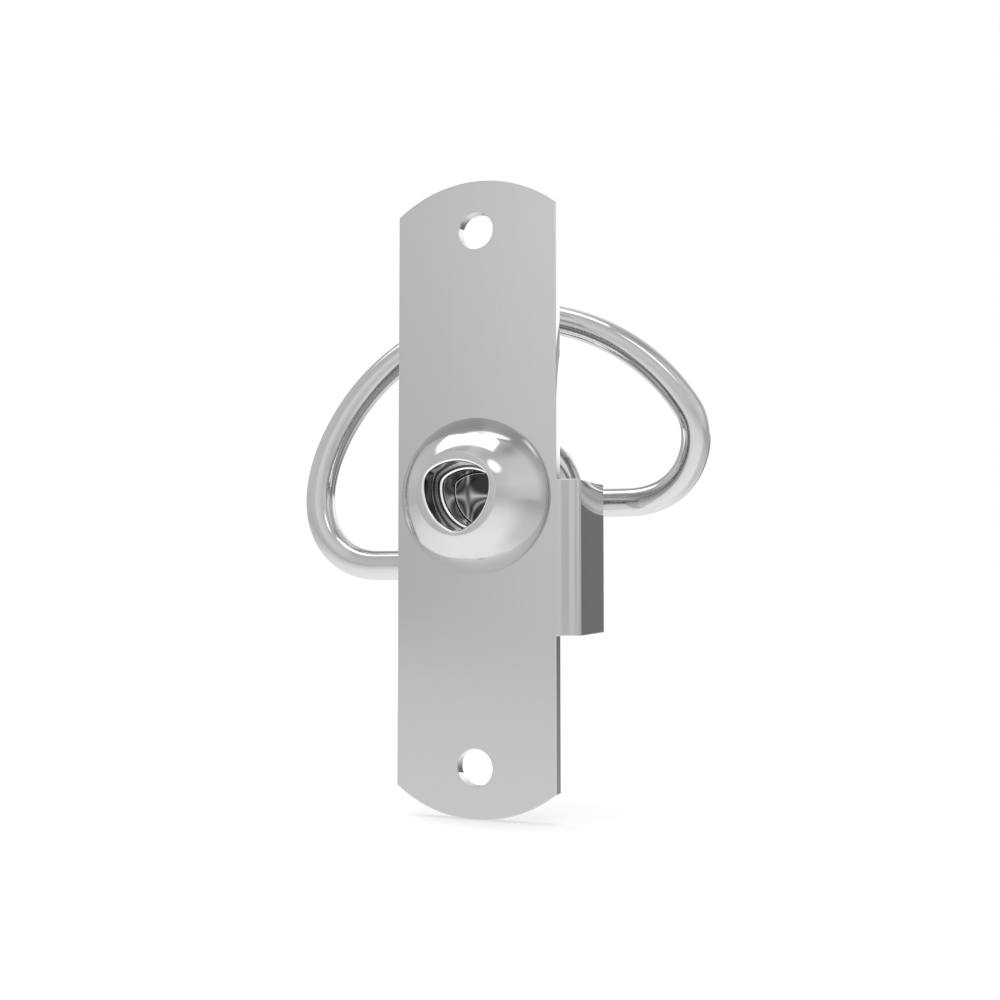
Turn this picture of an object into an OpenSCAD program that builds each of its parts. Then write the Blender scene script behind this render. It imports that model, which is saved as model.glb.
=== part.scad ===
/* [Plate] */
// Width of the mounting strip
plate_w = 25; // [22:0.5:32]
// Length of the mounting strip over its rounded ends
plate_h = 94; // [80:1:120]
// Thickness of the sheet
plate_t = 2; // [1.5:0.1:3]
// Radius of each rounded end
end_r = 20; // [17:0.5:40]
// Diameter of the two screw holes
hole_d = 5.5; // [4:0.1:7]
// Distance between the two screw holes
hole_spacing = 79; // [60:1:82]

/* [Side lug] */
// Height of the lug along the plate
lug_h = 22.5; // [12:0.5:30]
// Height of the lug's top edge above the spindle axis
lug_top = 2.25; // [-2:0.25:4]
// How far the lug's outer face stands out past the plate's edge
lug_out = 3.25; // [2.75:0.25:4]
// How far the lug reaches behind the mounting face
lug_depth = 11; // [5:0.5:13]
// Thickness of the lug's wall
lug_t = 1.6; // [1.2:0.1:2]
// Set-back of the lug's front strip behind the plate's front face
lug_set = 0.65; // [0.2:0.05:0.9]
// Slope of the step down to the front strip, in degrees
step_slope = 30; // [20:1:45]
// Radius of the step's two bends
step_r = 1.2; // [0.4:0.1:1.4]
// Outer radius of the fold
fold_r = 1.1; // [0.4:0.1:1.3]
// Inner radius of the fold
fold_inner_r = 0.3; // [0.1:0.05:0.6]

/* [Head] */
// Diameter of the domed head
head_d = 22.9; // [21.5:0.1:24.5]
// Height of the head over the plate's front face
head_h = 7.4; // [6.4:0.1:10]
// Height of the head's straight side
head_side = 0.9; // [0.6:0.1:2.4]
// Radius of the edge between side and dome
head_edge_r = 0.5; // [0.2:0.1:1]
// Diameter of the flat face round the key opening
face_d = 12.1; // [11.8:0.1:14]
// Radius of the edge between dome and flat face
face_edge_r = 0.5; // [0.2:0.1:0.8]
// How far the dome's profile bulges over its chord
dome_bulge = 0.6; // [0.2:0.05:1]
// Depth of the key opening in the head
opening_depth = 4.4; // [3:0.1:4.6]

/* [Key socket] */
// Distance from the axis to the centre of each corner arc
key_corner = 3.1; // [2.6:0.1:3.3]
// Radius of each corner arc in the head
key_corner_r = 2.2; // [1.8:0.1:2.3]
// Distance from the axis to the middle of each bulged side
key_side = 4.6; // [4.4:0.1:4.8]
// Width of the ledge round the socket in the spindle
ledge_w = 1; // [0.6:0.1:1.2]
// Depth of the socket in the spindle
socket_depth = 4.5; // [3:0.1:4.8]
// Rounding of the rim of the key opening
rim_r = 0.35; // [0.1:0.05:0.45]
// Rounding of the edge of the socket
socket_rim_r = 0.2; // [0.05:0.05:0.3]

/* [Spindle] */
// Diameter of the spindle in its bush
spindle_d = 12; // [11.8:0.1:12.6]
// Diameter of the shaft behind the shoulder
shaft_d = 10; // [8:0.5:10.5]
// Radial running clearance of the spindle in its bush
spindle_fit = 0.05; // [0.02:0.01:0.09]
// Radial clearance of the pieces that are pressed or slid together
slide_fit = 0.03; // [0.01:0.01:0.05]
// Gap between the head and the plate
head_gap = 0.1; // [0.05:0.05:0.3]
// Steel left between the front leg's cross hole and the shoulder
shoulder_land = 1.2; // [0.8:0.1:3]

/* [Bush and seal] */
// Outer diameter of the bush's barrel
bush_d = 16; // [15:0.5:16.4]
// Diameter of the bush's flange
bush_flange_d = 19; // [17:0.5:22]
// Thickness of the bush's flange
bush_flange_t = 0.8; // [0.5:0.1:0.9]
// Section diameter of the sealing ring
seal_d = 1.6; // [1:0.1:1.8]
// Middle diameter of the sealing ring
seal_ring_d = 18.9; // [18.6:0.1:19.2]

/* [Wire cam] */
// Diameter of the wire
wire_d = 4.5; // [4:0.1:4.8]
// Distance of the rear leg behind the mounting face
rear_leg_y = 22; // [20:0.5:24]
// Straight length of the rear leg, from the axis
rear_leg_reach = 16.6; // [15:0.2:18]
// Distance of the front leg behind the mounting face
front_leg_y = 3.5; // [3.3:0.1:5]
// Distance of the front leg below the axis
front_leg_drop = 10.1; // [9.9:0.1:11]
// Straight length of the front leg, from the axis
front_leg_reach = 18.5; // [17:0.5:20]
// Radius of the arch
arch_r = 30.75; // [30:0.25:33]
// Sideways place of the arch's centre
arch_x = 1; // [0:0.1:1.5]
// Height of the arch's centre
arch_z = -1.65; // [-2:0.05:-1]
// Angle at which the arch starts on the rear leg's side
arch_from = 31; // [26:1:40]
// Angle at which the arch ends on the front leg's side
arch_to = 157; // [145:1:160]
// Distance of the arch's rear end behind the mounting face
arch_rear_y = 17.9; // [16:0.1:20]
// Distance of the arch's front end behind the mounting face
arch_front_y = 6.2; // [5.5:0.1:8]
// Pull of the rear bend along the rear leg
rear_bend_leg = 10.6; // [8:0.2:13]
// Pull of the rear bend along the arch
rear_bend_arch = 5.2; // [4:0.2:8]
// Pull of the front bend along the arch
front_bend_arch = 13.4; // [10:0.2:15]
// Pull of the front bend along the front leg
front_bend_leg = 8.5; // [6:0.2:11]
// How far the front leg's end shows above the spindle
leg_end_out = 1; // [0.2:0.1:2]
// Chamfer at both ends of the wire
wire_chamfer = 0.3; // [0.1:0.1:0.8]
// Radial clearance of the wire in the holes and slots that hold it
wire_fit = 0.05; // [0.03:0.01:0.1]

/* [Rear stack] */
// Diameter of the collar's flange
collar_flange_d = 22.8; // [20:0.2:24]
// Thickness of the collar's flange
collar_flange_t = 2; // [1.5:0.1:2.4]
// Distance of the flange's front face behind the mounting face
collar_y = 15; // [13:0.5:15.5]
// Diameter of the collar's hub
hub_d = 18; // [17:0.5:19]
// Outer diameter of the spacer sleeve
sleeve_d = 14; // [13:0.5:16]
// Diameter of the spring pin through the hub
pin_d = 2.5; // [1.5:0.5:2.5]
// Thickness of the spring pin's wall
pin_wall = 0.5; // [0.3:0.1:0.6]
// Distance of the pin's middle behind the flange
pin_set = 2.2; // [1.9:0.1:2.6]
// Thickness of the end washer
washer_t = 1.2; // [0.8:0.1:2]
// Thickness of the retaining ring
ring_t = 1; // [0.6:0.1:1.2]
// Outer diameter of the retaining ring
ring_d = 13.4; // [12.5:0.1:14]
// Depth of the retaining ring's groove
groove_depth = 0.4; // [0.2:0.05:0.6]
// Width of the gap in the retaining ring, in degrees
ring_gap = 70; // [50:1:90]

/* [Hidden] */
$fn = 96;

eps = 0.01;
// steps of the dome, one corner arc, one bulged side and one rounding, and sides of the wire
crown_steps = 12;
corner_steps = 8;
side_steps = 10;
round_steps = 5;
wire_sides = 20;
// rings of the arch, of each long bend and of the tight bend
arch_steps = 34;
bend_steps = 14;
tight_steps = 8;

plate_front = -plate_t;
lug_x = plate_w / 2 + lug_out;
head_r = head_d / 2;
face_r = face_d / 2;
spindle_r = spindle_d / 2;
shaft_r = shaft_d / 2;
wire_r = wire_d / 2;
hub_r = hub_d / 2;

// the head's face, its underside, the ledge and the socket's floor, along the axis
head_face_y = plate_front - head_h;
head_back_y = plate_front - head_gap;
ledge_y = head_face_y + opening_depth;
socket_floor_y = ledge_y + socket_depth;

// the shoulder comes a land's width behind the front leg's cross hole
shoulder_y = front_leg_y + wire_r + wire_fit + shoulder_land;
hub_back_y = rear_leg_y + wire_r;
washer_back_y = hub_back_y + washer_t;
groove_y = washer_back_y + slide_fit;
groove_w = ring_t + 2 * slide_fit;
groove_r = shaft_r - groove_depth;
shaft_end_y = groove_y + groove_w + ring_t;
shaft_chamfer = 0.5;
seal_y = head_back_y - seal_d / 2;
seal_groove = 0.1;
pin_y = collar_y + collar_flange_t + pin_set;
collar_edge_r = 0.25;
washer_edge_r = 0.2;

// the tight bend turns the front leg up into the spindle's cross hole
tight_r = front_leg_drop - spindle_r;
leg_end_z = spindle_r + leg_end_out;

// points of an arc from angle a to angle b
function arc(c, r, a, b, n) = [for (i = [0:n]) c + r * [cos(a + (b - a) * i / n), sin(a + (b - a) * i / n)]];

// arc from p to q that stands out from its chord by h, on the chord's left
function bulge(p, q, h, n) =
    let (m = (p + q) / 2, half = norm(q - p) / 2, r = (half * half + h * h) / (2 * h),
         left = [p.y - q.y, q.x - p.x] / (2 * half), c = m - left * (r - h),
         a = atan2(p.y - c.y, p.x - c.x), sweep = 2 * asin(half / r))
    [for (i = [0:n]) c + r * [cos(a - sweep * i / n), sin(a - sweep * i / n)]];

// the corner b of the path a, b, c, rounded with radius r
function corner(a, b, c, r, n) =
    let (u = (a - b) / norm(a - b), v = (c - b) / norm(c - b), half = acos(u * v) / 2,
         mid = (u + v) / norm(u + v), o = b + mid * r / sin(half),
         s = b + u * r / tan(half) - o, e = b + v * r / tan(half) - o,
         a0 = atan2(s.y, s.x), turn = atan2(s.x * e.y - s.y * e.x, s * e))
    [for (i = [0:n]) o + r * [cos(a0 + turn * i / n), sin(a0 + turn * i / n)]];

// a closed outline from points [x, y, radius]
function rounded(p) =
    let (n = len(p), xy = [for (q = p) [q.x, q.y]])
    [for (i = [0:n - 1]) each p[i].z > 0
        ? corner(xy[(i + n - 1) % n], xy[i], xy[(i + 1) % n], p[i].z, round_steps)
        : [xy[i]]];

// the key's outline: a triangle with round corners and bulged sides, grown by e;
// one corner points along +y, and the arcs of a side and a corner share their tangent
side_back = (key_corner * key_corner - (key_side - key_corner_r) * (key_side - key_corner_r))
    / (2 * (key_side - key_corner_r) - key_corner);
side_r = key_side + side_back;
side_half = atan2(key_corner * sin(60), key_corner * cos(60) + side_back);
function key_outline(e) = [for (k = [0:2]) each concat(
    arc(key_corner * [cos(90 + 120 * k), sin(90 + 120 * k)], key_corner_r + e,
        30 + 120 * k + side_half, 150 + 120 * k - side_half, corner_steps),
    [for (i = [1:side_steps - 1])
        -side_back * [cos(150 + 120 * k), sin(150 + 120 * k)] + (side_r + e)
            * [cos(150 + 120 * k + side_half * (2 * i / side_steps - 1)),
               sin(150 + 120 * k + side_half * (2 * i / side_steps - 1))]])];

// rings of points joined into a closed skin, with flat ends
module skin(rings) {
    m = len(rings[0]);
    n = len(rings);
    polyhedron(
        points = [for (r = rings) each r],
        faces = concat(
            [[for (j = [0:m - 1]) j]],
            [for (i = [0:n - 2], j = [0:m - 1])
                each [[i * m + j, (i + 1) * m + j, i * m + (j + 1) % m],
                      [i * m + (j + 1) % m, (i + 1) * m + j, (i + 1) * m + (j + 1) % m]]],
            [[for (j = [m - 1:-1:0]) (n - 1) * m + j]]));
}

// stands the z axis of what is drawn along +Y, with its zero at y
module on_axis(y = 0) {
    translate([0, y, 0]) rotate([-90, 0, 0]) children();
}

// a revolved solid from points [radius, y, rounding]
module turned(p) {
    on_axis() rotate_extrude() polygon(rounded(p));
}

module tube(y0, y1, r_out, r_in) {
    on_axis(y0) difference() {
        cylinder(h = y1 - y0, r = r_out);
        translate([0, 0, -eps]) cylinder(h = y1 - y0 + 2 * eps, r = r_in);
    }
}

// a prism of the key's outline, with a rounded mouth at y0
module key_cut(y0, y1, inset, mouth_r) {
    on_axis(y0 - eps) linear_extrude(y1 - y0 + eps) polygon(key_outline(-inset));
    on_axis(y0) skin(concat(
        [[for (q = key_outline(mouth_r - inset)) [q.x, q.y, -eps]]],
        [for (i = [0:round_steps])
            let (a = 90 * i / round_steps)
            [for (q = key_outline(mouth_r * (1 - sin(a)) - inset)) [q.x, q.y, mouth_r * (1 - cos(a))]]]));
}

// cubic curve from a to d with its pulls b and c
function bend(a, b, c, d, n) = [for (i = [0:n])
    let (t = i / n, s = 1 - t)
    s * s * s * a + 3 * s * s * t * b + 3 * s * t * t * c + t * t * t * d];

// the arch climbs evenly along the axis as it goes round
function arch_point(a) =
    [arch_x + arch_r * cos(a),
     arch_rear_y + (arch_front_y - arch_rear_y) * (a - arch_from) / (arch_to - arch_from),
     arch_z + arch_r * sin(a)];
arch_rise = (arch_front_y - arch_rear_y) / ((arch_to - arch_from) * PI / 180);
function arch_way(a) =
    [-arch_r * sin(a), arch_rise, arch_r * cos(a)] / norm([arch_r, arch_rise]);

rear_leg_end = [rear_leg_reach, rear_leg_y, 0];
front_leg_end = [-front_leg_reach, front_leg_y, -front_leg_drop];
cam_path = concat(
    [[shaft_r + slide_fit, rear_leg_y, 0]],
    bend(rear_leg_end, rear_leg_end + [rear_bend_leg, 0, 0],
         arch_point(arch_from) - rear_bend_arch * arch_way(arch_from), arch_point(arch_from), bend_steps),
    [for (i = [1:arch_steps - 1]) arch_point(arch_from + (arch_to - arch_from) * i / arch_steps)],
    bend(arch_point(arch_to), arch_point(arch_to) + front_bend_arch * arch_way(arch_to),
         front_leg_end - [front_bend_leg, 0, 0], front_leg_end, bend_steps),
    [for (i = [0:tight_steps])
        let (a = -90 + 90 * i / tight_steps)
        [-tight_r + tight_r * cos(a), front_leg_y, -spindle_r + tight_r * sin(a)]],
    [[0, front_leg_y, leg_end_z]]);

// direction of the path at point i
function way(p, i) =
    let (d = p[min(i + 1, len(p) - 1)] - p[max(i - 1, 0)])
    d / norm(d);
// carries the side direction s on to the direction t, without twist
function carry(s, t) = let (q = s - (s * t) * t) q / norm(q);
function sides(p, i, s) = i == len(p) ? [] : concat([carry(s, way(p, i))], sides(p, i + 1, carry(s, way(p, i))));
// rings round the path, whose first and last are smaller by the chamfer
function wire_rings(p, r, chamfer) =
    let (s = sides(p, 0, [0, 1, 0]), last = len(p) - 1)
    [for (i = [0:last])
        let (t = way(p, i), u = s[i], v = cross(t, u),
             circle = [for (j = [0:wire_sides - 1])
                 u * cos(360 * j / wire_sides) + v * sin(360 * j / wire_sides)])
        each concat(
            i == 0 ? [[for (q = circle) p[i] + (r - chamfer) * q]] : [],
            [[for (q = circle) p[i] + (i == 0 ? chamfer : i == last ? -chamfer : 0) * t + r * q]],
            i == last ? [[for (q = circle) p[i] + (r - chamfer) * q]] : [])];

module plate_blank() {
    end_z = plate_h / 2 - end_r;
    on_axis(plate_front) intersection() {
        translate([-plate_w / 2, -plate_h / 2, 0]) cube([plate_w, plate_h, plate_t]);
        union() {
            translate([-plate_w / 2, -end_z, 0]) cube([plate_w, 2 * end_z, plate_t]);
            for (s = [-1, 1]) translate([0, s * end_z, 0]) cylinder(h = plate_t, r = end_r);
        }
    }
}

module side_lug() {
    strip_y = plate_front + lug_set;
    // the step's second bend ends where the fold begins
    step_end = lug_x - fold_r - step_r * tan(step_slope / 2);
    step_start = step_end - lug_set / tan(step_slope);
    edge_r = 0.15;
    root = 2;
    translate([0, 0, lug_top - lug_h]) linear_extrude(lug_h) polygon(rounded([
        [plate_w / 2 - root, plate_front, 0],
        [step_start, plate_front, step_r],
        [step_end, strip_y, step_r],
        [lug_x, strip_y, fold_r],
        [lug_x, lug_depth, edge_r],
        [lug_x - lug_t, lug_depth, edge_r],
        [lug_x - lug_t, strip_y + lug_t, fold_inner_r],
        [plate_w / 2, 0, 0],
        [plate_w / 2 - root, 0, 0]]));
}

module mounting_plate() color("silver") difference() {
    union() {
        plate_blank();
        side_lug();
    }
    for (s = [-1, 1]) translate([0, plate_front - eps, s * hole_spacing / 2]) rotate([-90, 0, 0])
        cylinder(h = plate_t + 2 * eps, d = hole_d);
    on_axis(plate_front - eps) cylinder(h = plate_t + 2 * eps, r = bush_d / 2 + slide_fit);
}

module spindle_bush() color("darkgray") {
    bore_r = spindle_r + spindle_fit;
    tube(plate_front, bush_flange_t, bush_d / 2, bore_r);
    tube(0, bush_flange_t, bush_flange_d / 2, bore_r);
}

module domed_head() color("gainsboro") difference() {
    edge_y = plate_front - head_side;
    crown = bulge([head_r, edge_y], [face_r, head_face_y], dome_bulge, crown_steps);
    turned(concat(
        [[0, head_back_y, 0], [head_r, head_back_y, 0], [head_r, edge_y, head_edge_r]],
        [for (i = [1:crown_steps - 1]) [crown[i].x, crown[i].y, 0]],
        [[face_r, head_face_y, face_edge_r], [0, head_face_y, 0]]));
    key_cut(head_face_y, ledge_y + eps, 0, rim_r);
    on_axis(ledge_y - slide_fit) cylinder(h = head_back_y - ledge_y + 1, r = spindle_r + slide_fit);
    tube(seal_y - seal_d / 2 - seal_groove, head_back_y + eps,
         (seal_ring_d + seal_d) / 2 + seal_groove, (seal_ring_d - seal_d) / 2 - seal_groove);
}

module spindle() color("darkgray") difference() {
    turned([
        [0, ledge_y, 0],
        [spindle_r, ledge_y, 0],
        [spindle_r, shoulder_y, 0],
        [shaft_r, shoulder_y, 0],
        [shaft_r, groove_y, 0],
        [groove_r, groove_y, 0],
        [groove_r, groove_y + groove_w, 0],
        [shaft_r, groove_y + groove_w, 0],
        [shaft_r, shaft_end_y - shaft_chamfer, 0],
        [shaft_r - shaft_chamfer, shaft_end_y, 0],
        [0, shaft_end_y, 0]]);
    key_cut(ledge_y, socket_floor_y, ledge_w, socket_rim_r);
    translate([0, front_leg_y, 0]) cylinder(h = 2 * spindle_d, r = wire_r + wire_fit, center = true);
    translate([0, pin_y, 0]) cylinder(h = 2 * spindle_d, r = pin_d / 2 + slide_fit, center = true);
}

module sealing_ring() color("dimgray")
    on_axis(seal_y) rotate_extrude() translate([seal_ring_d / 2, 0]) circle(d = seal_d, $fn = 32);

module wire_cam() color("lightgray") skin(wire_rings(cam_path, wire_r, wire_chamfer));

module spacer_sleeve() color("silver")
    tube(shoulder_y, collar_y, sleeve_d / 2, shaft_r + slide_fit);

module rear_collar() color("silver") difference() {
    turned([
        [shaft_r + slide_fit, collar_y, 0],
        [collar_flange_d / 2, collar_y, collar_edge_r],
        [collar_flange_d / 2, collar_y + collar_flange_t, collar_edge_r],
        [hub_r, collar_y + collar_flange_t, 0],
        [hub_r, hub_back_y, collar_edge_r],
        [shaft_r + slide_fit, hub_back_y, 0]]);
    // the slot is open to the rear, so that the leg can be laid in
    translate([0, rear_leg_y, 0]) rotate([0, 90, 0]) cylinder(h = hub_d, r = wire_r + wire_fit);
    translate([0, rear_leg_y, -wire_r - wire_fit]) cube([hub_d, wire_d, wire_d + 2 * wire_fit]);
    translate([0, pin_y, 0]) cylinder(h = 2 * hub_d, r = pin_d / 2 + slide_fit, center = true);
}

module collar_pin() color("gray") translate([0, pin_y, 0]) difference() {
    cylinder(h = hub_d - 1, d = pin_d, center = true);
    cylinder(h = hub_d, d = pin_d - 2 * pin_wall, center = true);
    // the slit faces the rear
    translate([0, pin_d / 2, 0]) cube([pin_wall, pin_d, hub_d], center = true);
}

module end_washer() color("silver") turned([
    [shaft_r + slide_fit, hub_back_y, 0],
    [hub_r, hub_back_y, washer_edge_r],
    [hub_r, washer_back_y, washer_edge_r],
    [shaft_r + slide_fit, washer_back_y, 0]]);

module retaining_ring() color("dimgray") {
    inner_r = groove_r + slide_fit;
    ear_r = 1.5;
    ear_hole_r = 0.6;
    ear_at = ring_gap / 2 + 8;
    on_axis(groove_y + slide_fit) difference() {
        union() {
            rotate([0, 0, 90 + ring_gap / 2]) rotate_extrude(angle = 360 - ring_gap)
                translate([inner_r, 0]) square([ring_d / 2 - inner_r, ring_t]);
            for (s = [-1, 1]) rotate([0, 0, 90 + s * ear_at]) translate([ring_d / 2 - ear_r / 2, 0, 0])
                cylinder(h = ring_t, r = ear_r);
        }
        for (s = [-1, 1]) rotate([0, 0, 90 + s * ear_at]) translate([ring_d / 2 - ear_r / 2, 0, -eps])
            cylinder(h = ring_t + 2 * eps, r = ear_hole_r);
        translate([0, 0, -eps]) cylinder(h = ring_t + 2 * eps, r = inner_r);
    }
}

mounting_plate();
spindle_bush();
domed_head();
spindle();
sealing_ring();
wire_cam();
spacer_sleeve();
rear_collar();
collar_pin();
end_washer();
retaining_ring();
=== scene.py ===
# %% [markdown]
# # A compression latch in polished steel
# A narrow face plate carries a domed head with a three-cornered key opening. A key turns the head, and with
# it a bent wire behind the plate that pulls a door shut. The plate stands on its lower end, as in the
# photograph. The exact solids come in first: they are the fixed frame, and every piece made below sits on
# their sizes.

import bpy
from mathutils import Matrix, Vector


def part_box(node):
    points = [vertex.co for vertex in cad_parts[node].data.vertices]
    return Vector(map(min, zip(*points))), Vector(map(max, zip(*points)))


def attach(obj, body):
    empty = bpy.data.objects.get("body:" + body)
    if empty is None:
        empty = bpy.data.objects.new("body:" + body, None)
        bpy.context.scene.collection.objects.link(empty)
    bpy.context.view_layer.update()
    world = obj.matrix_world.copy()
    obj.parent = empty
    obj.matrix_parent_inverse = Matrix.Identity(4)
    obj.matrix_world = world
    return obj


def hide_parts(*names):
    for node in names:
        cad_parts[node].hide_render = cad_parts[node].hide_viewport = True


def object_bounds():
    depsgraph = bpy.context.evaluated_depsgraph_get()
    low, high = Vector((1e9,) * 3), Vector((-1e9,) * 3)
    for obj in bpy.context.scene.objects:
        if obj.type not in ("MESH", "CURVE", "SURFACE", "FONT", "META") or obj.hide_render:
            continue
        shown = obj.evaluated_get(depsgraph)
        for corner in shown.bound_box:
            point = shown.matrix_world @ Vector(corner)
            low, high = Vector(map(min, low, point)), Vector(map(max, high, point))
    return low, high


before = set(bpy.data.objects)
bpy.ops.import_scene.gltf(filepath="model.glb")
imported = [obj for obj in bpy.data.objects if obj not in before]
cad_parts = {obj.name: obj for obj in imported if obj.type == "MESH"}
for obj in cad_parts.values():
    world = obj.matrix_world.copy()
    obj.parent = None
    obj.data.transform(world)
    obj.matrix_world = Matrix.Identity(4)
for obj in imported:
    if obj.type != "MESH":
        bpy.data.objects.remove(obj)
cad_box = [list(corner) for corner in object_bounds()]
print("CAD box in mm:", [[round(1000 * v, 2) for v in corner] for corner in cad_box])

# %% Tools for the lesson
import math

import bpy
import numpy as np
from mathutils import Vector, geometry

MM = 0.001


def linear(hex_colour):
    """An sRGB hex colour as linear RGBA. Each channel c becomes c / 12.92 when it is dark, and otherwise
    ((c + 0.055) / 1.055) ^ 2.4."""
    c = np.array([int(hex_colour[i:i + 2], 16) for i in (1, 3, 5)]) / 255
    rgb = np.where(c <= 0.04045, c / 12.92, ((c + 0.055) / 1.055) ** 2.4)
    return (*rgb.tolist(), 1.0)


def linked(name, data):
    """A new object at the origin with this mesh, camera or lamp."""
    made = bpy.data.objects.new(name, data)
    bpy.context.collection.objects.link(made)
    return made


def store(mesh, name, values):
    """Stores one number with each point of a mesh, for its material to read."""
    mesh.attributes.new(name, "FLOAT", "POINT").data.foreach_set("value", np.ravel(values).astype(np.float32))


def fill(tree, node, inputs):
    """Gives each named socket of a node its value, another socket, or a node's first output."""
    for name, value in inputs.items():
        if isinstance(value, bpy.types.Node):
            value = value.outputs[0]
        if isinstance(value, bpy.types.NodeSocket):
            tree.links.new(value, node.inputs[name])
        else:
            node.inputs[name].default_value = value
    return node


def add(tree, kind, inputs=None, **settings):
    """Adds one node. settings are its own properties, and inputs fill its sockets."""
    node = tree.nodes.new(kind)
    for name, value in settings.items():
        setattr(node, name, value)
    return fill(tree, node, inputs or {})


# %% [markdown]
# ## Camera
# The camera was worked out from the plate's edges and holes in the photograph. It stands 21 degrees to the
# latch's right, a little below its middle, and looks up by 3 degrees. The picture is square.

# %% The camera
CAMERA_AT = Vector((71.6, -177.8, -11.3)) * MM
CAMERA_YAW = math.radians(21.06)
CAMERA_PITCH = math.radians(3.24)
CAMERA_LENS = 46.64

camera_data = bpy.data.cameras.new("camera")
camera_data.lens = CAMERA_LENS
camera_data.sensor_width = 36
camera_data.clip_start = 0.01
camera = linked("camera", camera_data)
camera.location = CAMERA_AT
camera.rotation_euler = (math.pi / 2 + CAMERA_PITCH, 0, CAMERA_YAW)
bpy.context.scene.camera = camera
bpy.context.scene.view_settings.view_transform = "Standard"
print("camera", [round(v / MM) for v in camera.location], "mm, lens", CAMERA_LENS)

# %% [markdown]
# ## Surfaces from arrays
# A bright metal shows every flaw of its surface, so nothing here is built from boxes. Each piece is a row
# of rings: ring i, point j is one array of points, and a skin joins neighbouring rings with four-cornered
# faces. The arrays hold millimetres, as a workshop drawing does, and become metres in the mesh.

# %% A skin over rings of points
SHARP = math.radians(32)


def grid_faces(n, m, wrap=False, closed=True):
    """Faces (i, j), (i, j+1), (i+1, j+1), (i+1, j) between n rings of m points, as rows of point numbers.
    wrap joins the last ring to the first, and closed the last point of each ring to its first."""
    i, j = np.meshgrid(np.arange(n if wrap else n - 1), np.arange(m if closed else m - 1), indexing="ij")
    i2, j2 = (i + 1) % n, (j + 1) % m
    return np.stack([i * m + j, i * m + j2, i2 * m + j2, i2 * m + j], -1).reshape(-1, 4)


def skin(name, rings, wrap=False, flip=False):
    """Joins rings[i, j], in mm, into a mesh. wrap joins the last ring to the first; without it one flat face
    closes each end. flip turns the faces round. The texture coordinates are lengths, from lay_out."""
    n, m, _ = rings.shape
    faces = grid_faces(n, m, wrap)[:, ::-1 if flip else 1].tolist()
    if not wrap:
        first, last = np.arange(m), np.arange(m) + (n - 1) * m
        ends = [first[::-1], last] if not flip else [first, last[::-1]]
        faces += [end.tolist() for end in ends]
    mesh = bpy.data.meshes.new(name)
    mesh.from_pydata((rings.reshape(-1, 3) * MM).tolist(), [], faces)
    lay_out(mesh, rings)
    return piece(name, mesh)


def lay_out(mesh, rings):
    """Gives each corner the length along the rings and round them, in mm, with no jump at the seam."""
    n, m, _ = rings.shape
    along = np.concatenate([[0], np.cumsum(np.linalg.norm(np.diff(rings, axis=0), axis=2).mean(1))])
    turn = np.linalg.norm(np.roll(rings, -1, 1) - rings, axis=2).sum(1).max() / m
    corner = np.zeros(len(mesh.loops), np.int32)
    mesh.loops.foreach_get("vertex_index", corner)
    start = np.zeros(len(mesh.polygons), np.int32)
    size = np.zeros(len(mesh.polygons), np.int32)
    mesh.polygons.foreach_get("loop_start", start)
    mesh.polygons.foreach_get("loop_total", size)
    ring, place = corner // m, corner % m
    low = np.repeat(np.minimum.reduceat(place, start), size)
    high = np.repeat(np.maximum.reduceat(place, start), size)
    place = np.where((low == 0) & (high == m - 1) & (place == 0), m, place)
    uv = mesh.uv_layers.new(name="lengths")
    uv.data.foreach_set("uv", np.stack([along[ring], place * turn], 1).astype(np.float32).ravel())


def piece(name, mesh):
    """Links a mesh as an object at the origin, smooth except where faces meet at more than SHARP."""
    mesh.validate()
    mesh.shade_smooth()
    mesh.set_sharp_from_angle(angle=SHARP)
    print(f"{name}: {len(mesh.polygons)} faces")
    return linked(name, mesh)


# %% Profiles with rounded corners
def fillet(a, b, c, radius, steps):
    """Points of the arc of that radius that touches the lines from b to a and from b to c."""
    u, v = (a - b) / np.linalg.norm(a - b), (c - b) / np.linalg.norm(c - b)
    half = math.acos(np.clip(u @ v, -1, 1)) / 2
    middle = b + (u + v) / np.linalg.norm(u + v) * radius / math.sin(half)
    start, end = b + u * radius / math.tan(half) - middle, b + v * radius / math.tan(half) - middle
    a0 = math.atan2(start[1], start[0])
    turn = math.atan2(start[0] * end[1] - start[1] * end[0], start @ end)
    angle = a0 + turn * np.linspace(0, 1, steps + 1)
    return middle + radius * np.stack([np.cos(angle), np.sin(angle)], 1)


def rounded(points, steps=8):
    """An open path through points (x, y, radius), with each inner corner made an arc of its radius."""
    p = np.array(points, float)
    parts = [p[:1, :2]]
    for a, b, c in zip(p, p[1:], p[2:]):
        parts.append(fillet(a[:2], b[:2], c[:2], b[2], steps) if b[2] > 0 else b[None, :2])
    return np.concatenate(parts + [p[-1:, :2]])


# %% [markdown]
# ## The face plate
# The plate is blanked from 2 mm strip: straight sides, ends cut to an arc, two screw holes, and a tab on
# the right that is set back a little and folded to the rear as the lug. A box with a Bevel modifier would
# fray at the arcs and the fold. Here the flat blank's outline comes first, the edge's profile is carried
# round it along the mitres of its corners, and then the blank is folded: a distance across it becomes a
# length along the sheet's bent section.

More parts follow.
